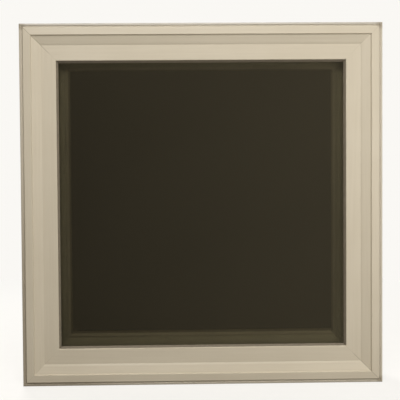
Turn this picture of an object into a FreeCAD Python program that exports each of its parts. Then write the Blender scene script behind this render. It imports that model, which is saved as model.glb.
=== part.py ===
import FreeCAD, Part
import os
import Sketcher

# Fixed picture window with a welded vinyl frame, seen square on.
#
# The row frame has its origin at the middle of the sill's underside, +X to the right as seen from outdoors,
# +Y from outdoors to the room and +Z up. Every framing member has one section, drawn with two distances:
# back, from the outdoor face towards the room, and in, from the window's outer edge towards its middle.
# A member is that section run along one side of the window and mitred at 45 degrees at both ends.

PARTS = "parts"

SIZES = (
    ("window_width", 750.0, "overall width"),
    ("window_height", 750.0, "overall height"),
    ("frame_depth", 82.6, "outdoor face to room face"),
    ("vinyl_wall", 2.0, "outer walls of the vinyl sections"),
    ("vinyl_web", 1.2, "inner webs of the frame section"),
    ("lip_width", 4.5, "lip round the outer edge"),
    ("lip_setback", 2.5, "lip behind the outdoor face"),
    ("lip_fall", 1.2, "how far the lip falls back towards the window's outer edge"),
    ("groove_width", 3.8, "groove inside the lip"),
    ("groove_depth", 4.2, "groove's bottom behind the outdoor face"),
    ("flank_run", 2.4, "slope from the groove up to the face, seen from the front"),
    ("face_width", 15.0, "outdoor face of the frame"),
    ("face_fall", 0.9, "how far the face falls back towards the groove"),
    ("step_run", 1.4, "step inside the face, seen from the front"),
    ("step_fall", 3.0, "how far the step goes back"),
    ("bevel_run", 15.3, "slope inside the step, seen from the front"),
    ("bevel_fall", 5.2, "how far the slope goes back"),
    ("bevel_end_run", 3.7, "steeper end of the slope, seen from the front"),
    ("bevel_end_fall", 1.8, "how far the steeper end goes back"),
    ("front_web_place", 28.0, "frame's front web from the outdoor face"),
    ("rear_web_place", 56.0, "frame's rear web from the outdoor face"),
    ("rail_face_width", 32.0, "flat outdoor face of the sash rails"),
    ("stile_face_width", 30.6, "flat outdoor face of the sash stiles"),
    ("sash_box_width", 15.0, "hollow part of the sash that carries the glass"),
    ("leg_thickness", 4.0, "sash leg in front of the glass, front to back"),
    ("seal_thickness", 2.0, "seal between the sash leg and the glass"),
    ("seal_show", 4.2, "seal's sloped lip on the inner side of the sash leg"),
    ("seal_setback", 1.8, "start of the lip's slope behind the sash's outdoor face"),
    ("seal_toe", 0.5, "end of the lip's slope in front of the glass"),
    ("glass_thickness", 3.0, "each pane"),
    ("glass_gap", 13.0, "space between the panes"),
    ("block_height", 4.0, "setting blocks between the sash and the glass"),
    ("block_length", 100.0, "each setting block"),
    ("block_inset", 90.0, "setting block's end from the glass edge"),
    ("spacer_inset", 2.0, "spacer from the edge of the glass"),
    ("spacer_height", 8.0, "spacer, edge to middle"),
    ("spacer_wall", 0.8, "spacer's wall"),
    ("head_bead_show", 11.8, "head bead inside the outdoor seal"),
    ("jamb_bead_show", 17.7, "jamb beads inside the outdoor seal"),
    ("sill_bead_show", 21.8, "sill bead inside the outdoor seal"),
    ("bead_depth", 20.0, "bead, front to back"),
    ("bead_nose", 8.0, "straight part of the bead beside the glass"),
    ("bead_slope", 10.0, "how far the bead's slope runs outwards"),
    ("bead_wall", 1.5, "bead's wall"),
    ("bead_seal_under", 6.0, "seal under the bead's nose"),
    ("head_seal_show", 3.3, "seal that reaches past the head bead's nose"),
    ("jamb_seal_show", 4.6, "seals that reach past the jamb beads' noses"),
    ("sill_seal_show", 6.3, "seal that reaches past the sill bead's nose"),
    ("bead_seal_thickness", 2.0, "seal between the inner pane and the bead"),
    ("edge_round", 0.8, "rounding of the frame's front edges"),
    ("sash_round", 1.5, "rounding of the sash edge beside the glass"),
    ("screw_hole", 5.0, "diameter of the installation screw holes"),
    ("screw_inset", 150.0, "screw hole from the head or the sill's underside"),
    ("screw_setback", 8.5, "screw hole from the room face"),
)

# Distances in from the window's outer edge.
LIP_END = "Size.lip_width"
FACE_START = f"({LIP_END} + Size.groove_width)"
FACE_END = f"({FACE_START} + Size.face_width)"
STEP_END = f"({FACE_END} + Size.step_run)"
BEVEL_TURN = f"({STEP_END} + Size.bevel_run)"
FRAME_EDGE = f"({BEVEL_TURN} + Size.bevel_end_run)"
SASH_POCKET = f"({FRAME_EDGE} + Size.sash_box_width)"
GLASS_EDGE = f"({SASH_POCKET} + Size.block_height)"
SPACER_START = f"({GLASS_EDGE} + Size.spacer_inset)"
SPACER_END = f"({SPACER_START} + Size.spacer_height)"

# Distances back from the outdoor face.
LIP_EDGE_BACK = "(Size.lip_setback + Size.lip_fall)"
STEP_BACK = "Size.step_fall"
TURN_BACK = f"({STEP_BACK} + Size.bevel_fall)"
SASH_FRONT = f"({TURN_BACK} + Size.bevel_end_fall)"
LEG_BACK = f"({SASH_FRONT} + Size.leg_thickness)"
GLASS_FRONT = f"({LEG_BACK} + Size.seal_thickness)"
GAP_FRONT = f"({GLASS_FRONT} + Size.glass_thickness)"
GAP_BACK = f"({GAP_FRONT} + Size.glass_gap)"
GLASS_BACK = f"({GAP_BACK} + Size.glass_thickness)"
BEAD_FRONT = f"({GLASS_BACK} + Size.bead_seal_thickness)"
BEAD_BACK = f"({BEAD_FRONT} + Size.bead_depth)"

# The window's width and height, and where its left and right ends are.
WIDTH = "Size.window_width"
HEIGHT = "Size.window_height"
LEFT_END = "-Size.window_width / 2"
RIGHT_END = "Size.window_width / 2"

# The directions of the row frame.
RIGHT = FreeCAD.Vector(1, 0, 0)
ROOM = FreeCAD.Vector(0, 1, 0)
UP = FreeCAD.Vector(0, 0, 1)

# Each side runs from one corner to the next: the way it runs, the way in, the place of its first corner,
# its length, and the sides that it meets at its first and last corner.
SIDES = {
    "sill": (RIGHT, UP, LEFT_END, "0", WIDTH, "left", "right"),
    "head": (-RIGHT, -UP, RIGHT_END, HEIGHT, WIDTH, "right", "left"),
    "left": (-UP, RIGHT, LEFT_END, HEIGHT, HEIGHT, "head", "sill"),
    "right": (UP, -RIGHT, RIGHT_END, "0", HEIGHT, "sill", "head"),
}

# How far in the sash, its outdoor seal and the bead of each side reach.
SASH_EDGES = {
    "sill": f"({FRAME_EDGE} + Size.rail_face_width)",
    "head": f"({FRAME_EDGE} + Size.rail_face_width)",
    "left": f"({FRAME_EDGE} + Size.stile_face_width)",
    "right": f"({FRAME_EDGE} + Size.stile_face_width)",
}
SEAL_EDGES = {side: f"({edge} + Size.seal_show)" for side, edge in SASH_EDGES.items()}
BEAD_EDGES = {
    "sill": f"({SEAL_EDGES['sill']} + Size.sill_bead_show)",
    "head": f"({SEAL_EDGES['head']} + Size.head_bead_show)",
    "left": f"({SEAL_EDGES['left']} + Size.jamb_bead_show)",
    "right": f"({SEAL_EDGES['right']} + Size.jamb_bead_show)",
}

# How far in the seal under each bead reaches.
BEAD_SEAL_EDGES = {
    "sill": f"({BEAD_EDGES['sill']} + Size.sill_seal_show)",
    "head": f"({BEAD_EDGES['head']} + Size.head_seal_show)",
    "left": f"({BEAD_EDGES['left']} + Size.jamb_seal_show)",
    "right": f"({BEAD_EDGES['right']} + Size.jamb_seal_show)",
}

doc = FreeCAD.newDocument("picture_window")
sheet = doc.addObject("Spreadsheet::Sheet", "Size")
for row, (alias, size, note) in enumerate(SIZES, start=1):
    sheet.set(f"A{row}", note)
    sheet.set(f"B{row}", str(size))
    sheet.setAlias(f"B{row}", alias)
doc.recompute()

pieces = []


def value_of(expression):
    """The number that an expression on the sheet's sizes gives."""
    return float(sheet.evalExpression(expression))


def tie(sketch, kind, first, second, expression):
    """One distance between two points of a sketch, bound to an expression."""
    constraint = Sketcher.Constraint(kind, *first, *second, value_of(expression))
    number = sketch.addConstraint(constraint)
    sketch.setExpression(f"Constraints[{number}]", expression)


def pin(sketch, geometry, point, across, up):
    """Holds a point of a sketch at two expressions, measured from the sketch's origin."""
    for kind, axis, expression in (("DistanceX", -2, across), ("DistanceY", -1, up)):
        if expression == "0":
            sketch.addConstraint(Sketcher.Constraint("PointOnObject", geometry, point, axis))
        else:
            tie(sketch, kind, (-1, 1), (geometry, point), expression)


def draw_loop(sketch, corners):
    """A closed loop of straight lines through corners, each corner a pair of expressions."""
    places = [FreeCAD.Vector(value_of(across), value_of(up), 0) for across, up in corners]
    lines = []
    for start, end in zip(places, places[1:] + places[:1]):
        lines.append(sketch.addGeometry(Part.LineSegment(start, end)))
    for line, after in zip(lines, lines[1:] + lines[:1]):
        sketch.addConstraint(Sketcher.Constraint("Coincident", line, 2, after, 1))
    for line, (across, up) in zip(lines, corners):
        pin(sketch, line, 1, across, up)


def sketch_on(body, plane, name):
    """An empty sketch on one of the body's own origin planes."""
    sketch = body.newObject("Sketcher::SketchObject", f"{body.Name}_{name}")
    support = [item for item in body.Origin.OriginFeatures if item.Role == plane][0]
    sketch.AttachmentSupport = (support, [""])
    sketch.MapMode = "FlatFace"
    return sketch


def cut_through(body, sketch, name):
    """Cuts a sketch's loops through the body both ways, and makes sure that it took something off."""
    doc.recompute()
    before = body.Shape.Volume
    pocket = body.newObject("PartDesign::Pocket", f"{body.Name}_{name}")
    pocket.Profile = sketch
    pocket.Type = "ThroughAll"
    pocket.Midplane = True
    doc.recompute()
    if not body.Shape.Volume < before:
        raise RuntimeError(f"{name} took nothing off {body.Name}")


def round_long_edges(body, corners, radius):
    """Rounds the edges that run along the member through some corners of its section."""
    doc.recompute()
    base = body.Tip
    wanted = [(value_of(back), value_of(inward)) for back, inward in corners]
    names = []
    for number, edge in enumerate(base.Shape.Edges, start=1):
        first, last = edge.Vertexes[0].Point, edge.Vertexes[-1].Point
        runs_along = abs(first.y - last.y) < 1e-6 and abs(first.z - last.z) < 1e-6
        if runs_along and any(abs(first.y - y) < 1e-6 and abs(first.z - z) < 1e-6 for y, z in wanted):
            names.append(f"Edge{number}")
    if len(names) != len(wanted):
        raise RuntimeError(f"{body.Name} has {len(names)} of the {len(wanted)} edges to round")
    fillet = body.newObject("PartDesign::Fillet", f"{body.Name}_rounding")
    fillet.Base = (base, names)
    fillet.setExpression("Radius", radius)


def draw_mitres(sketch, length, reach, first_reach, last_reach):
    """What comes off both ends: 45 degrees as far in as the shorter piece at that corner, then square."""
    beyond_reach = f"({reach} + 1)"
    first = f"min({reach}; {first_reach})"
    last = f"min({reach}; {last_reach})"
    draw_loop(sketch, [("0", "0"), ("0", beyond_reach), (first, beyond_reach), (first, first)])
    near, far = f"({length} - {last})", length
    draw_loop(sketch, [(far, "0"), (far, beyond_reach), (near, beyond_reach), (near, last)])


def member(name, side, loops, reaches, rounded=(), radius=""):
    """One side of a mitred frame: a section drawn as (back, in) corners, its first loop the outline.

    reaches says how far in each side's piece of that frame goes.
    """
    along, inward, place_x, place_z, length, first_side, last_side = SIDES[side]
    body = doc.addObject("PartDesign::Body", name)
    body.Label = name
    section = sketch_on(body, "YZ_Plane", "section")
    for corners in loops:
        draw_loop(section, corners)
    pad = body.newObject("PartDesign::Pad", f"{name}_run")
    pad.Profile = section
    pad.setExpression("Length", length)
    if rounded:
        round_long_edges(body, rounded, radius)
    mitre = sketch_on(body, "XZ_Plane", "mitre")
    draw_mitres(mitre, length, reaches[side], reaches[first_side], reaches[last_side])
    cut_through(body, mitre, "mitres")
    body.Placement = FreeCAD.Placement(FreeCAD.Vector(), FreeCAD.Rotation(along, ROOM, inward, "XYZ"))
    body.setExpression("Placement.Base.x", place_x)
    body.setExpression("Placement.Base.y", "-Size.frame_depth / 2")
    body.setExpression("Placement.Base.z", place_z)
    pieces.append(body)
    return body


def slab(name, left, front, bottom, width, depth, height):
    """A plain box from six expressions in the row frame."""
    box = doc.addObject("Part::Box", name)
    box.Label = name
    for prop, expression in (
        ("Length", width),
        ("Width", depth),
        ("Height", height),
        ("Placement.Base.x", left),
        ("Placement.Base.y", front),
        ("Placement.Base.z", bottom),
    ):
        box.setExpression(prop, expression)
    pieces.append(box)


def inset(corner, amount):
    """An expression less an amount."""
    return f"({corner} - {amount})"


def beyond(corner, amount):
    """An expression plus an amount."""
    return f"({corner} + {amount})"


def box_loop(front, back, start, end, wall="0"):
    """A rectangle of the section, made smaller by a wall all round."""
    if wall != "0":
        front, start = beyond(front, wall), beyond(start, wall)
        back, end = inset(back, wall), inset(end, wall)
    return [(front, start), (front, end), (back, end), (back, start)]


def frame_section():
    """The outer frame: lip, groove, face, step and slope in front, and three chambers in a row behind."""
    wall, web = "Size.vinyl_wall", "Size.vinyl_web"
    outline = [
        (LIP_EDGE_BACK, "0"),
        ("Size.lip_setback", LIP_END),
        ("Size.groove_depth", LIP_END),
        ("Size.groove_depth", inset(FACE_START, "Size.flank_run")),
        ("Size.face_fall", FACE_START),
        ("0", FACE_END),
        (STEP_BACK, STEP_END),
        (TURN_BACK, BEVEL_TURN),
        (SASH_FRONT, FRAME_EDGE),
        ("Size.frame_depth", FRAME_EDGE),
        ("Size.frame_depth", "0"),
    ]
    behind_groove = beyond("Size.groove_depth", wall)
    front_chamber = [
        (behind_groove, wall),
        (behind_groove, beyond(FACE_START, wall)),
        (beyond("Size.face_fall", wall), beyond(FACE_START, wall)),
        (wall, inset(FACE_END, wall)),
        (beyond(STEP_BACK, wall), inset(STEP_END, wall)),
        (beyond(TURN_BACK, wall), BEVEL_TURN),
        (beyond(SASH_FRONT, wall), inset(FRAME_EDGE, wall)),
        ("Size.front_web_place", inset(FRAME_EDGE, wall)),
        ("Size.front_web_place", wall),
    ]
    middle_start = beyond("Size.front_web_place", web)
    rear_start = beyond("Size.rear_web_place", web)
    room_wall = inset("Size.frame_depth", wall)
    middle_chamber = box_loop(middle_start, "Size.rear_web_place", wall, inset(FRAME_EDGE, wall))
    rear_chamber = box_loop(rear_start, room_wall, wall, inset(FRAME_EDGE, wall))
    return [outline, front_chamber, middle_chamber, rear_chamber]


def frame_front_edges():
    """The corners of the frame's section that are slightly round."""
    return [
        (LIP_EDGE_BACK, "0"),
        ("Size.lip_setback", LIP_END),
        ("Size.face_fall", FACE_START),
        ("0", FACE_END),
        ("Size.frame_depth", FRAME_EDGE),
        ("Size.frame_depth", "0"),
    ]


def sash_section(edge):
    """The fixed sash: a hollow box round the glass with a leg in front of it."""
    wall = "Size.vinyl_wall"
    outline = [
        (SASH_FRONT, FRAME_EDGE),
        (SASH_FRONT, edge),
        (LEG_BACK, edge),
        (LEG_BACK, SASH_POCKET),
        (BEAD_BACK, SASH_POCKET),
        (BEAD_BACK, FRAME_EDGE),
    ]
    box = box_loop(SASH_FRONT, BEAD_BACK, FRAME_EDGE, SASH_POCKET, wall)
    return [outline, box]


def seal_section(sash_edge, seal_edge):
    """The outdoor seal: a flat strip behind the sash leg, with a lip that slopes from the leg to the glass."""
    outline = [
        (LEG_BACK, GLASS_EDGE),
        (LEG_BACK, sash_edge),
        (beyond(SASH_FRONT, "Size.seal_setback"), sash_edge),
        (inset(GLASS_FRONT, "Size.seal_toe"), seal_edge),
        (GLASS_FRONT, seal_edge),
        (GLASS_FRONT, GLASS_EDGE),
    ]
    return [outline]


def spacer_section():
    """The hollow metal bar between the panes."""
    bar = (GAP_FRONT, GAP_BACK, SPACER_START, SPACER_END)
    return [box_loop(*bar), box_loop(*bar, "Size.spacer_wall")]


def bead_section(edge):
    """The hollow bead that holds the glass from the room, sloped on its room side."""
    wall = "Size.bead_wall"
    nose_back = beyond(BEAD_FRONT, "Size.bead_nose")
    slope_start = inset(edge, "Size.bead_slope")
    outline = [
        (BEAD_FRONT, SASH_POCKET),
        (BEAD_FRONT, edge),
        (nose_back, edge),
        (BEAD_BACK, slope_start),
        (BEAD_BACK, SASH_POCKET),
    ]
    chamber = [
        (beyond(BEAD_FRONT, wall), beyond(SASH_POCKET, wall)),
        (beyond(BEAD_FRONT, wall), inset(edge, wall)),
        (inset(nose_back, wall), inset(edge, wall)),
        (inset(BEAD_BACK, wall), inset(slope_start, wall)),
        (inset(BEAD_BACK, wall), beyond(SASH_POCKET, wall)),
    ]
    return [outline, chamber]


def bead_seal_section(bead_edge, seal_edge):
    """The seal between the inner pane and the bead's nose, which reaches a little past it."""
    return [box_loop(GLASS_BACK, BEAD_FRONT, inset(bead_edge, "Size.bead_seal_under"), seal_edge)]


def screw_holes(jamb):
    """Two holes through a frame jamb near the room face, for the screws into the wall."""
    holes = sketch_on(jamb, "XY_Plane", "screws")
    back = inset("Size.frame_depth", "Size.screw_setback")
    for place in ("Size.screw_inset", inset(HEIGHT, "Size.screw_inset")):
        centre = FreeCAD.Vector(value_of(place), value_of(back), 0)
        radius = value_of("Size.screw_hole / 2")
        circle = holes.addGeometry(Part.Circle(centre, FreeCAD.Vector(0, 0, 1), radius))
        pin(holes, circle, 3, place, back)
        number = holes.addConstraint(Sketcher.Constraint("Diameter", circle, 2 * radius))
        holes.setExpression(f"Constraints[{number}]", "Size.screw_hole")
    cut_through(jamb, holes, "screw_holes")


def same_reach(edge):
    """The same reach on all four sides."""
    return dict.fromkeys(SIDES, edge)


def frame():
    """Head, sill and two jambs, welded at the mitres."""
    for side, name in (
        ("head", "frame_head"),
        ("sill", "frame_sill"),
        ("left", "left_jamb"),
        ("right", "right_jamb"),
    ):
        reaches = same_reach(FRAME_EDGE)
        body = member(name, side, frame_section(), reaches, frame_front_edges(), "Size.edge_round")
        if side in ("left", "right"):
            screw_holes(body)


def sash():
    """Two rails and two stiles, welded at the mitres and fixed in the frame."""
    for side, name in (
        ("head", "sash_top_rail"),
        ("sill", "sash_bottom_rail"),
        ("left", "sash_left_stile"),
        ("right", "sash_right_stile"),
    ):
        edge = SASH_EDGES[side]
        member(name, side, sash_section(edge), SASH_EDGES, [(SASH_FRONT, edge)], "Size.sash_round")


def seals_beads_and_spacers():
    """The pieces that run round the glass, each in four mitred lengths."""
    for side, word in (("head", "top"), ("sill", "bottom"), ("left", "left"), ("right", "right")):
        outdoor_seal = seal_section(SASH_EDGES[side], SEAL_EDGES[side])
        member(f"outdoor_seal_{word}", side, outdoor_seal, SEAL_EDGES)
        member(f"spacer_{word}", side, spacer_section(), same_reach(SPACER_END))
        member(f"glazing_bead_{word}", side, bead_section(BEAD_EDGES[side]), BEAD_EDGES)
        bead_seal = bead_seal_section(BEAD_EDGES[side], BEAD_SEAL_EDGES[side])
        member(f"bead_seal_{word}", side, bead_seal, BEAD_SEAL_EDGES)


def glass():
    """The two panes, and the blocks that they stand on in the sash's bottom rail."""
    left = f"{LEFT_END} + {GLASS_EDGE}"
    width = f"{WIDTH} - 2 * {GLASS_EDGE}"
    height = f"{HEIGHT} - 2 * {GLASS_EDGE}"
    for name, back in (("outer_pane", GLASS_FRONT), ("inner_pane", GAP_BACK)):
        front = f"{back} - Size.frame_depth / 2"
        slab(name, left, front, GLASS_EDGE, width, "Size.glass_thickness", height)
    front = f"{GLASS_FRONT} - Size.frame_depth / 2"
    depth = f"{GLASS_BACK} - {GLASS_FRONT}"
    left_block = f"{left} + Size.block_inset"
    right_block = f"{RIGHT_END} - {GLASS_EDGE} - Size.block_inset - Size.block_length"
    for name, place in (("left_setting_block", left_block), ("right_setting_block", right_block)):
        slab(name, place, front, SASH_POCKET, "Size.block_length", depth, "Size.block_height")


def write_pieces():
    """Checks every object of the document and each piece's shape, then writes one file a piece."""
    doc.recompute()
    for item in doc.Objects:
        if "Invalid" in item.State or "Error" in item.State:
            raise RuntimeError(f"{item.Label} failed: {item.State}")
    for piece in pieces:
        if piece.Shape.isNull() or not piece.Shape.isValid() or len(piece.Shape.Solids) != 1:
            raise RuntimeError(f"{piece.Label} isn't one valid solid")
    os.makedirs(PARTS, exist_ok=True)
    for piece in pieces:
        piece.Shape.exportStep(os.path.join(PARTS, f"{piece.Label}.step"))
        print(piece.Label, round(piece.Shape.Volume / 1000, 1), "cm3")


frame()
sash()
seals_beads_and_spacers()
glass()
write_pieces()
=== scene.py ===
import math

import bpy
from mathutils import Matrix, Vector

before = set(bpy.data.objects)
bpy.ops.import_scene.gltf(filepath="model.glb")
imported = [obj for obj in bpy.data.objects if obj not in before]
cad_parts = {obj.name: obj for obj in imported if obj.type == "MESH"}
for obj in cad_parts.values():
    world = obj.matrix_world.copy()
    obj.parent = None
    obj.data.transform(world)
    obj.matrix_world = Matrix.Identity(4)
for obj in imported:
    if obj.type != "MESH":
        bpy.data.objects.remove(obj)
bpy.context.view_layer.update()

# The window, in metres. It stands with the middle of its underside at the origin, outdoors towards -Y.
SIDE = 0.75
MIDDLE = SIDE / 2
OUTDOOR_FACE = -0.0413

# Distances in from the frame's edge: where the outdoor lip ends, where the frame's outdoor face starts and
# where the sash starts. Then for the head, the jambs and the sill, where the bead and its seal end.
LIP_END = 0.0045
FACE_START = 0.0083
SASH_START = 0.0437
BEAD_ENDS = (0.0917, 0.0962, 0.1017)
SEAL_ENDS = (0.095, 0.1008, 0.108)

# The camera, fitted to the photograph: its place in metres, its turn in degrees and its lens in millimetres.
CAMERA_DISTANCE = 1.5
CAMERA_SIDEWAYS = -0.095
CAMERA_HEIGHT = 0.465
CAMERA_TURN = (88.46, 0.445, -0.985)
CAMERA_LENS = 65.43
CAMERA_SENSOR = 36.0
CAMERA_SHIFT = (0.078, -0.0475)

# Colours of the window. Those of the vinyl and the seals are matched to the photograph.
ALMOND = (0.62, 0.548, 0.424, 1.0)
ALMOND_DEEP = (0.585, 0.513, 0.391, 1.0)
# Brown of the weld lines, and also of the painted shade at the frame's corners and at its lower left.
WELD_AND_SHADE_BROWN = (0.25, 0.2, 0.13, 1.0)
# Grey of the painted shade in the groove, on the lip, on the outer sides and along the top edge.
SHADE_GREY = (0.47, 0.43, 0.36, 1.0)
SEAL_ALMOND = (0.52, 0.45, 0.34, 1.0)
# Painted shade on a bead seal where it shows past the bead's nose.
SEAL_SHADED = (0.2, 0.165, 0.115, 1.0)
STRIP_DARK = (0.165, 0.136, 0.096, 1.0)
STRIP_DUSTY = (0.21, 0.175, 0.126, 1.0)
ALUMINIUM_DULL = (0.5, 0.48, 0.44, 1.0)
ALUMINIUM_BRIGHT = (0.62, 0.6, 0.56, 1.0)
RUBBER_DARK = (0.03, 0.03, 0.03, 1.0)
RUBBER_WORN = (0.055, 0.053, 0.05, 1.0)

# The panes: what the clear glass lets through, the inner pane's dark tint, which is painted shade for the
# dark behind the window, and the colour and the head-on share of what the glass mirrors. The colours are
# matched to the photograph.
CLEAR_TINT = (0.775, 0.773, 0.742, 1.0)
PAINTED_DARK_TINT = (0.13, 0.12, 0.1, 1.0)
NO_LIGHT = (0.0, 0.0, 0.0, 1.0)
MIRROR_TINT = (1.0, 0.865, 0.59, 1.0)
MIRROR_SHARE = 0.04

# Colours of the studio, as the camera sees it and as it shines.
STUDIO_WHITE = (0.956, 0.939, 0.905, 1.0)
STUDIO_WARM = (1.0, 0.94, 0.84, 1.0)

# The floor has one pair of colours for the light that it gives back and one, lifted by a glow, for how it is
# seen. It goes over into the white between the distances of its fade. The glow is matched to the photograph.
FLOOR_LIT = ((0.27, 0.263, 0.25, 1.0), (0.29, 0.282, 0.268, 1.0))
FLOOR_SEEN = ((0.18, 0.176, 0.168, 1.0), (0.2, 0.195, 0.186, 1.0))
FLOOR_LIFT = 0.797
FLOOR_FADE = (0.4, 1.5)
FLOOR_RADIUS = 4.0
FLOOR_CORNERS = 64
FLOOR_DROP = 0.0003

# How strongly the studio shines from above, and from straight in front of and behind the window.
SKY_LIGHT = 0.43
LEVEL_LIGHT = 0.27

# How bright the studio is where glass or metal mirrors it: straight ahead, the rise to the right, the rise
# upwards and the least anywhere. Matched to the photograph.
MIRRORED_AHEAD = 0.3
MIRRORED_RIGHT = 0.6
MIRRORED_UP = 0.2
MIRRORED_LEAST = 0.1

# Each lamp's place, size and power, tuned to the photograph.
LAMPS = {
    "side lamp": ((0.9, -0.95, 0.45), 0.5, 5.0),
    "left lamp": ((-0.39, -1.3, 1.56), 0.5, 9.6),
    "top lamp": ((0.3, -1.6, 2.1), 0.5, 16.8),
    "room lamp": ((-0.9, 2.2, 1.6), 1.0, 60.0),
    "far lamp": ((-1.8, 0.9, 0.45), 0.8, 8.0),
    "near lamp": ((1.9, 0.4, 0.6), 0.7, 6.0),
}

# Lamps that nothing mirrors. The side lamp would otherwise show in the panes from the left.
UNMIRRORED_LAMPS = ("side lamp",)

SIDES = ("top", "bottom", "left", "right")

HEAD_AND_SILL = ("frame_head", "frame_sill", "sash_top_rail", "sash_bottom_rail")
JAMBS_AND_STILES = ("left_jamb", "right_jamb", "sash_left_stile", "sash_right_stile")

# How far the painted shade and the welds cover the vinyl's own colour.
GROOVE_SHADE = 0.4
TOP_EDGE_SHADE = 0.5
SHADE_AT_CORNERS = 0.5
SHADE_AT_LOWER_LEFT = 0.55
WELD_COVER = 0.6

# Where the painted shade of the lower left corner fades out: along the sill, up the jamb, and back from the
# outdoor face. Its reach is matched to the photograph.
SHADE_ALONG_SILL = (-0.3, -0.1)
SHADE_UP_JAMB = (0.1, 0.55)
SHADE_BACKWARDS = (OUTDOOR_FACE + 0.005, OUTDOOR_FACE + 0.008)

# How far off the mitre a weld line starts to fade and where it is gone.
WELD_EDGE = (0.0004, 0.0011)

# How deep a weld line sinks and how high the pores stand, against the vinyl's fine lines.
WELD_DEPTH = 1.5
PORE_HEIGHT = 0.4

# Painted light and shade on each glazing bead's front: how much paler or darker it is painted against the
# frame, at its foot in the sash's shadow and at its nose. These values are matched to the photograph.
BEAD_PAINTED_LIGHT = {"top": (1.45, 1.05), "bottom": (1.25, 1.28), "left": (1.0, 0.98), "right": (1.6, 0.84)}

# How far in from the frame's edge the painted light of the foot goes over into that of the nose, and where,
# towards the room, both give way to the plain colour.
BEAD_FOOT = 0.073
BEAD_NOSE = 0.088
BEAD_FRONT_ENDS = (0.0, 0.008)

# Painted light and shade on the seal under each bead, paler or darker on each side as the light falls there,
# matched to the photograph too.
BEAD_SEAL_PAINTED_LIGHT = {"top": 1.0, "bottom": 1.22, "left": 0.96, "right": 0.77}

# The scale of the vinyl's fine lines on the three axes: the smaller it is, the further they are drawn out.
ALONG_X = (0.03, 1.0, 1.0)
ALONG_Z = (1.0, 1.0, 0.03)


def put(tree, kind, inputs=None, **settings):
    """Adds a node, sets its settings, and links or sets its inputs by name or number."""
    node = tree.nodes.new(kind)
    for name, value in settings.items():
        setattr(node, name, value)
    for name, value in (inputs or {}).items():
        if isinstance(value, bpy.types.NodeSocket):
            tree.links.new(value, node.inputs[name])
        else:
            node.inputs[name].default_value = value
    return node


def reckon(tree, operation, first, second=0.0, third=0.0):
    """The result of a sum on one, two or three numbers."""
    node = put(tree, "ShaderNodeMath", {0: first, 1: second, 2: third}, operation=operation)
    return node.outputs[0]


def fade(tree, value, start, end, first=0.0, last=1.0):
    """Goes smoothly from first to last as the value goes from start to end."""
    ends = {"Value": value, "From Min": start, "From Max": end, "To Min": first, "To Max": last}
    node = put(tree, "ShaderNodeMapRange", ends, interpolation_type="SMOOTHSTEP")
    return node.outputs["Result"]


def fade_out(tree, value, start, end):
    """Goes smoothly from 1 to 0 as the value goes from start to end."""
    return fade(tree, value, start, end, first=1.0, last=0.0)


def blend_colours(tree, share, first, last):
    """The first colour at share 0 and the last at share 1."""
    node = tree.nodes.new("ShaderNodeMix")
    node.data_type = "RGBA"
    sockets = {"Factor_Float": share, "A_Color": first, "B_Color": last}
    for socket in node.inputs:
        value = sockets.get(socket.identifier)
        if isinstance(value, bpy.types.NodeSocket):
            tree.links.new(value, socket)
        elif value is not None:
            socket.default_value = value
    return next(socket for socket in node.outputs if socket.identifier == "Result_Color")


def new_material(name):
    """An empty material, and its node tree."""
    material = bpy.data.materials.new(name)
    material.use_nodes = True
    material.node_tree.nodes.clear()
    return material, material.node_tree


def finish_material(tree, shader):
    """Shows the shader on the surface."""
    put(tree, "ShaderNodeOutputMaterial", {"Surface": shader})


def bumped_skin(tree, colour, roughness, height, strength, depth=0.0002, more=None):
    """Shows a surface with this colour and roughness, and relief from the height."""
    bump = put(tree, "ShaderNodeBump", {"Strength": strength, "Distance": depth, "Height": height})
    inputs = {"Base Color": colour, "Roughness": roughness, "Normal": bump.outputs[0]}
    inputs.update(more or {})
    finish_material(tree, put(tree, "ShaderNodeBsdfPrincipled", inputs).outputs[0])


def point_on_piece(tree):
    """The point on the piece, in the window's own coordinates."""
    return put(tree, "ShaderNodeTexCoord").outputs["Object"]


def place_on_window(tree):
    """The point on the window, and its X, Y and Z."""
    point = point_on_piece(tree)
    parts = put(tree, "ShaderNodeSeparateXYZ", {0: point})
    return point, parts.outputs["X"], parts.outputs["Y"], parts.outputs["Z"]


def inset_from_side(tree, x):
    """How far a point lies in from the nearer jamb's outer edge."""
    return reckon(tree, "SUBTRACT", MIDDLE, reckon(tree, "ABSOLUTE", x))


def inset_from_end(tree, z):
    """How far a point lies in from the top or the bottom edge, whichever is nearer."""
    off_middle = reckon(tree, "ABSOLUTE", reckon(tree, "SUBTRACT", z, MIDDLE))
    return reckon(tree, "SUBTRACT", MIDDLE, off_middle)


def inset_from_edge(tree, x, z):
    """How far a point lies in from the nearest of the frame's four edges."""
    return reckon(tree, "MINIMUM", inset_from_side(tree, x), inset_from_end(tree, z))


def outside_of(tree, x, z, insets):
    """How far a point lies outside the rectangle with these insets from the head, the jambs and the sill."""
    head, jamb, sill = insets
    below = reckon(tree, "SUBTRACT", sill, z)
    above = reckon(tree, "SUBTRACT", z, SIDE - head)
    sideways = reckon(tree, "SUBTRACT", jamb, inset_from_side(tree, x))
    return reckon(tree, "MAXIMUM", reckon(tree, "MAXIMUM", below, above), sideways)


def painted_groove_shade(tree, x, z):
    """Painted shade: 1 in the groove, on the lip and on the outer sides of the frame, and 0 further in."""
    return fade_out(tree, inset_from_edge(tree, x, z), FACE_START - 0.0012, FACE_START)


def painted_top_edge_shade(tree, z):
    """Painted shade: 1 along the window's top edge, and 0 below its lip."""
    return fade(tree, z, SIDE - LIP_END - 0.0003, SIDE - LIP_END + 0.0002)


def painted_corner_shade(tree, x, z):
    """Painted shade: 1 in the groove and on the outer sides next to the frame's corners, and 0 elsewhere."""
    farther = reckon(tree, "MAXIMUM", inset_from_side(tree, x), inset_from_end(tree, z))
    near_corner = fade_out(tree, farther, FACE_START, FACE_START + 0.008)
    return reckon(tree, "MULTIPLY", painted_groove_shade(tree, x, z), near_corner)


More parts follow.
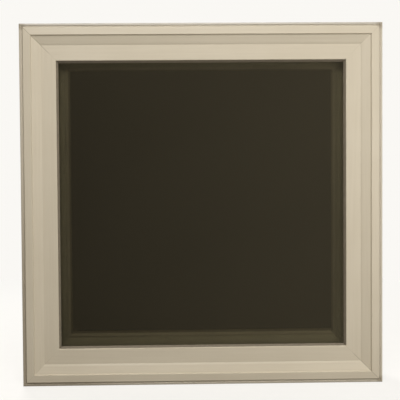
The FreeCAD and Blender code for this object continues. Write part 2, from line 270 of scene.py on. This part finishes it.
def painted_lower_left_shade(tree, x, y, z):
    """Painted shade: 1 on the lip and groove at the lower left corner, fading out up the jamb and along the
    sill.
    """
    along_sill = fade_out(tree, x, *SHADE_ALONG_SILL)
    up_jamb = fade_out(tree, z, *SHADE_UP_JAMB)
    outdoors = fade_out(tree, y, *SHADE_BACKWARDS)
    corner = reckon(tree, "MULTIPLY", reckon(tree, "MULTIPLY", along_sill, up_jamb), outdoors)
    return reckon(tree, "MULTIPLY", painted_groove_shade(tree, x, z), corner)


def weld_line(tree, x, z):
    """1 on the line where two members of the frame are welded, 0 off it, and less on the sash.

    The welds at the head's left end and the sill's right end show the most.
    """
    inset = inset_from_side(tree, x)
    off_mitre = reckon(tree, "ABSOLUTE", reckon(tree, "SUBTRACT", inset, inset_from_end(tree, z)))
    line = fade_out(tree, off_mitre, *WELD_EDGE)
    on_sash = fade(tree, inset, SASH_START + 0.012, SASH_START + 0.02, first=1.0, last=0.2)
    corner = reckon(tree, "MULTIPLY", x, reckon(tree, "SUBTRACT", z, MIDDLE))
    by_corner = fade(tree, corner, -0.001, 0.001, first=1.0, last=0.25)
    strength = reckon(tree, "MULTIPLY", on_sash, by_corner)
    return reckon(tree, "MULTIPLY", line, strength)


def grain(tree, point, scale, detail=2.0, stretch=(1.0, 1.0, 1.0)):
    """Soft noise, drawn out along the axis that has the smallest stretch."""
    squeezed = put(tree, "ShaderNodeMapping", {"Vector": point, "Scale": stretch})
    inputs = {"Vector": squeezed.outputs[0], "Scale": scale, "Detail": detail}
    return put(tree, "ShaderNodeTexNoise", inputs).outputs["Fac"]


def painted_bead_light(tree, x, y, z, body, painted_light):
    """The colour with painted light and shade on a glazing bead's front, paler or darker from its foot to
    its nose.
    """
    painted_light_factor = fade(tree, inset_from_edge(tree, x, z), BEAD_FOOT, BEAD_NOSE, *painted_light)
    changed = put(tree, "ShaderNodeVectorMath", {0: body, "Scale": painted_light_factor}, operation="SCALE")
    behind_front = fade(tree, y, *BEAD_FRONT_ENDS)
    return blend_colours(tree, behind_front, changed.outputs[0], body)


def scaled(colour, painted_light_factor):
    """A colour made paler or darker by painted light and shade."""
    return tuple(painted_light_factor * part for part in colour[:3]) + (1.0,)


def vinyl(name, stretch, painted_light=None):
    """Satin almond vinyl with the faint lines that extrusion leaves along a member."""
    material, tree = new_material(name)
    point, x, y, z = place_on_window(tree)
    lines = grain(tree, point, scale=300.0, detail=3.0, stretch=stretch)
    clouds = grain(tree, point, scale=9.0)
    pores = grain(tree, point, scale=1400.0)
    weld = weld_line(tree, x, z)
    mottle = reckon(tree, "MULTIPLY_ADD", lines, 0.5, reckon(tree, "MULTIPLY", clouds, 0.5))
    body = blend_colours(tree, fade(tree, mottle, 0.3, 0.7), ALMOND, ALMOND_DEEP)
    # Painted light and shade on a glazing bead's front.
    if painted_light:
        body = painted_bead_light(tree, x, y, z, body, painted_light)
    # Painted shade in the groove, on the lip, on the outer sides and along the top edge.
    shade_on_top = reckon(tree, "MULTIPLY", painted_top_edge_shade(tree, z), TOP_EDGE_SHADE)
    dust_and_shade = reckon(tree, "MULTIPLY_ADD", painted_groove_shade(tree, x, z), GROOVE_SHADE, shade_on_top)
    shaded_body = blend_colours(tree, dust_and_shade, body, SHADE_GREY)
    # Painted shade at the frame's corners and at its lower left, in the weld's brown.
    at_corners = reckon(tree, "MULTIPLY", painted_corner_shade(tree, x, z), SHADE_AT_CORNERS)
    at_lower_left = reckon(tree, "MULTIPLY", painted_lower_left_shade(tree, x, y, z), SHADE_AT_LOWER_LEFT)
    painted_shade = reckon(tree, "MAXIMUM", at_corners, at_lower_left)
    shade_and_weld = reckon(tree, "MAXIMUM", painted_shade, reckon(tree, "MULTIPLY", weld, WELD_COVER))
    colour = blend_colours(tree, shade_and_weld, shaded_body, WELD_AND_SHADE_BROWN)
    sunk = reckon(tree, "MULTIPLY_ADD", weld, -WELD_DEPTH, lines)
    relief = reckon(tree, "MULTIPLY_ADD", pores, PORE_HEIGHT, sunk)
    roughness = fade(tree, lines, 0.2, 0.8, first=0.38, last=0.5)
    bumped_skin(tree, colour, roughness, relief, strength=0.12, more={"IOR": 1.46})
    return material


def outdoor_seal_finish():
    """The matt strip that the outer pane lies against, dusty in patches."""
    material, tree = new_material("outdoor seal")
    point = point_on_piece(tree)
    dust_and_shade = fade(tree, grain(tree, point, scale=220.0, detail=4.0), 0.35, 0.7)
    colour = blend_colours(tree, dust_and_shade, STRIP_DARK, STRIP_DUSTY)
    bumped_skin(tree, colour, roughness=0.7, height=grain(tree, point, scale=1200.0), strength=0.2)
    return material


def bead_seal_finish(name, painted_light_factor):
    """Matt almond seal, with painted light and shade on each side, and painted shade where it shows past the
    bead's nose.
    """
    material, tree = new_material(name)
    point, x, _, z = place_on_window(tree)
    off_bead = outside_of(tree, x, z, BEAD_ENDS)
    shown = fade_out(tree, off_bead, -0.0005, 0.0)
    dust_and_shade = reckon(tree, "MULTIPLY", grain(tree, point, scale=260.0, detail=4.0), 0.3)
    share = reckon(tree, "MULTIPLY_ADD", shown, 0.7, dust_and_shade)
    colour = blend_colours(tree, share, scaled(SEAL_ALMOND, painted_light_factor), scaled(SEAL_SHADED, painted_light_factor))
    bumped_skin(tree, colour, roughness=0.65, height=grain(tree, point, scale=1200.0), strength=0.2)
    return material


def mirror_share(tree, head_on):
    """How much of what meets the glass is mirrored: head_on from the front, and more at a slant."""
    slant = put(tree, "ShaderNodeLayerWeight", {"Blend": 0.5}).outputs["Facing"]
    return reckon(tree, "MULTIPLY_ADD", reckon(tree, "POWER", slant, 5.0), 1.0 - head_on, head_on)


def glass(name, painted_dark=None):
    """A pane that lets part of the light through, and far less inside the seals' outline if it has a dark
    tint, which is painted shade for the dark behind the window.
    """
    material, tree = new_material(name)
    point, x, _, z = place_on_window(tree)
    haze = fade(tree, grain(tree, point, scale=5.0), 0.3, 0.7, first=0.97, last=1.0)
    tint = blend_colours(tree, haze, NO_LIGHT, CLEAR_TINT)
    if painted_dark:
        inside = fade_out(tree, outside_of(tree, x, z, SEAL_ENDS), -0.0004, 0.0)
        tint = blend_colours(tree, inside, tint, painted_dark)
    passed = put(tree, "ShaderNodeBsdfTransparent", {"Color": tint})
    mirrored = put(tree, "ShaderNodeBsdfGlossy", {"Color": MIRROR_TINT, "Roughness": 0.0})
    inputs = {0: mirror_share(tree, MIRROR_SHARE), 1: passed.outputs[0], 2: mirrored.outputs[0]}
    finish_material(tree, put(tree, "ShaderNodeMixShader", inputs).outputs[0])
    return material


def spacer_finish():
    """Mill aluminium with a faint grain."""
    material, tree = new_material("spacer")
    brushed = grain(tree, point_on_piece(tree), scale=900.0)
    colour = blend_colours(tree, brushed, ALUMINIUM_DULL, ALUMINIUM_BRIGHT)
    metal = {"Metallic": 1.0}
    bumped_skin(tree, colour, roughness=0.38, height=brushed, strength=0.1, depth=0.0001, more=metal)
    return material


def block_finish():
    """Dark matt rubber."""
    material, tree = new_material("setting block")
    specks = grain(tree, point_on_piece(tree), scale=700.0)
    colour = blend_colours(tree, specks, RUBBER_DARK, RUBBER_WORN)
    bumped_skin(tree, colour, roughness=0.75, height=specks, strength=0.2)
    return material


def give(material, names):
    """Puts the material on each of these nodes."""
    for name in names:
        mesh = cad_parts[name].data
        if not mesh.materials:
            mesh.materials.append(material)
        for slot in range(len(mesh.materials)):
            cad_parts[name].material_slots[slot].material = material


def seen_directly(tree):
    """1 for what the camera sees, straight or mirrored, and 0 for the light that falls on a surface."""
    path = put(tree, "ShaderNodeLightPath")
    return reckon(tree, "MAXIMUM", path.outputs["Is Camera Ray"], path.outputs["Is Glossy Ray"])


def studio_walls():
    """White to the camera, and soft warm light from above, from in front and from the room.

    What glass and metal mirror is a dimmer white, brighter to the right and upwards.
    """
    world = bpy.data.worlds.new("studio")
    bpy.context.scene.world = world
    world.use_nodes = True
    tree = world.node_tree
    tree.nodes.clear()
    direction = put(tree, "ShaderNodeTexCoord").outputs["Generated"]
    parts = put(tree, "ShaderNodeSeparateXYZ", {0: direction})
    above = fade(tree, parts.outputs["Z"], 0.0, 1.0, last=SKY_LIGHT)
    towards_faces = reckon(tree, "ABSOLUTE", parts.outputs["Y"])
    strength = reckon(tree, "ADD", above, fade(tree, towards_faces, 0.5, 1.0, last=LEVEL_LIGHT))
    light = put(tree, "ShaderNodeBackground", {"Color": STUDIO_WARM, "Strength": strength})
    path = put(tree, "ShaderNodeLightPath")
    across = reckon(tree, "MULTIPLY_ADD", parts.outputs["X"], MIRRORED_RIGHT, MIRRORED_AHEAD)
    mirrored = reckon(tree, "MULTIPLY_ADD", parts.outputs["Z"], MIRRORED_UP, across)
    lowered = reckon(tree, "MAXIMUM", mirrored, MIRRORED_LEAST)
    level = fade(tree, path.outputs["Is Glossy Ray"], 0.0, 1.0, first=1.0, last=lowered)
    white = put(tree, "ShaderNodeBackground", {"Color": STUDIO_WHITE, "Strength": level})
    inputs = {0: seen_directly(tree), 1: light.outputs[0], 2: white.outputs[0]}
    mixed = put(tree, "ShaderNodeMixShader", inputs)
    put(tree, "ShaderNodeOutputWorld", {"Surface": mixed.outputs[0]})


def studio_floor():
    """A pale floor that runs out into the white round it."""
    turns = [math.tau * corner / FLOOR_CORNERS for corner in range(FLOOR_CORNERS)]
    rim = [(FLOOR_RADIUS * math.cos(turn), FLOOR_RADIUS * math.sin(turn), -FLOOR_DROP) for turn in turns]
    mesh = bpy.data.meshes.new("floor")
    mesh.from_pydata(rim, [], [list(range(FLOOR_CORNERS))])
    floor = bpy.data.objects.new("floor", mesh)
    bpy.context.collection.objects.link(floor)
    material, tree = new_material("floor")
    point = point_on_piece(tree)
    reach = put(tree, "ShaderNodeVectorMath", {0: point}, operation="LENGTH").outputs["Value"]
    specks = grain(tree, point, scale=30.0)
    matt = put(tree, "ShaderNodeBsdfDiffuse", {"Color": blend_colours(tree, specks, *FLOOR_LIT)})
    shade = put(tree, "ShaderNodeBsdfDiffuse", {"Color": blend_colours(tree, specks, *FLOOR_SEEN)})
    lift = put(tree, "ShaderNodeEmission", {"Color": STUDIO_WHITE, "Strength": FLOOR_LIFT})
    near = put(tree, "ShaderNodeAddShader", {0: shade.outputs[0], 1: lift.outputs[0]})
    far = put(tree, "ShaderNodeEmission", {"Color": STUDIO_WHITE, "Strength": 1.0})
    inputs = {0: fade(tree, reach, *FLOOR_FADE), 1: near.outputs[0], 2: far.outputs[0]}
    shown = put(tree, "ShaderNodeMixShader", inputs)
    inputs = {0: seen_directly(tree), 1: matt.outputs[0], 2: shown.outputs[0]}
    finish_material(tree, put(tree, "ShaderNodeMixShader", inputs).outputs[0])
    mesh.materials.append(material)
    floor.visible_glossy = False


def lamp(name, place, size, power):
    """A square soft lamp that faces the middle of the window."""
    data = bpy.data.lights.new(name, "AREA")
    data.size = size
    data.energy = power
    light = bpy.data.objects.new(name, data)
    light.location = place
    aim = Vector((0.0, 0.0, MIDDLE)) - Vector(place)
    light.rotation_euler = aim.to_track_quat("-Z", "Y").to_euler()
    light.visible_glossy = name not in UNMIRRORED_LAMPS
    bpy.context.collection.objects.link(light)


def studio_camera():
    """The camera, a little above and left of the window's middle, as in the photograph."""
    data = bpy.data.cameras.new("camera")
    data.sensor_width = CAMERA_SENSOR
    data.lens = CAMERA_LENS
    data.shift_x, data.shift_y = CAMERA_SHIFT
    camera = bpy.data.objects.new("camera", data)
    camera.location = (CAMERA_SIDEWAYS, OUTDOOR_FACE - CAMERA_DISTANCE, CAMERA_HEIGHT)
    camera.rotation_euler = [math.radians(turn) for turn in CAMERA_TURN]
    bpy.context.collection.objects.link(camera)
    bpy.context.scene.camera = camera


give(vinyl("vinyl of the head and sill", ALONG_X), HEAD_AND_SILL)
give(vinyl("vinyl of the jambs", ALONG_Z), JAMBS_AND_STILES)
# Each bead's front gets its own painted light and shade.
for side, painted_light in BEAD_PAINTED_LIGHT.items():
    stretch = ALONG_X if side in ("top", "bottom") else ALONG_Z
    give(vinyl(f"vinyl of the {side} bead", stretch, painted_light), [f"glazing_bead_{side}"])
give(outdoor_seal_finish(), [f"outdoor_seal_{side}" for side in SIDES])
# Each bead seal gets its own painted light and shade.
for side, painted_light_factor in BEAD_SEAL_PAINTED_LIGHT.items():
    give(bead_seal_finish(f"seal of the {side} bead", painted_light_factor), [f"bead_seal_{side}"])
give(spacer_finish(), [f"spacer_{side}" for side in SIDES])
give(block_finish(), ("left_setting_block", "right_setting_block"))
give(glass("outer glass"), ["outer_pane"])
give(glass("inner glass", PAINTED_DARK_TINT), ["inner_pane"])

studio_walls()
studio_floor()
for name, (place, size, power) in LAMPS.items():
    lamp(name, place, size, power)
studio_camera()

bpy.context.scene.view_settings.view_transform = "Standard"
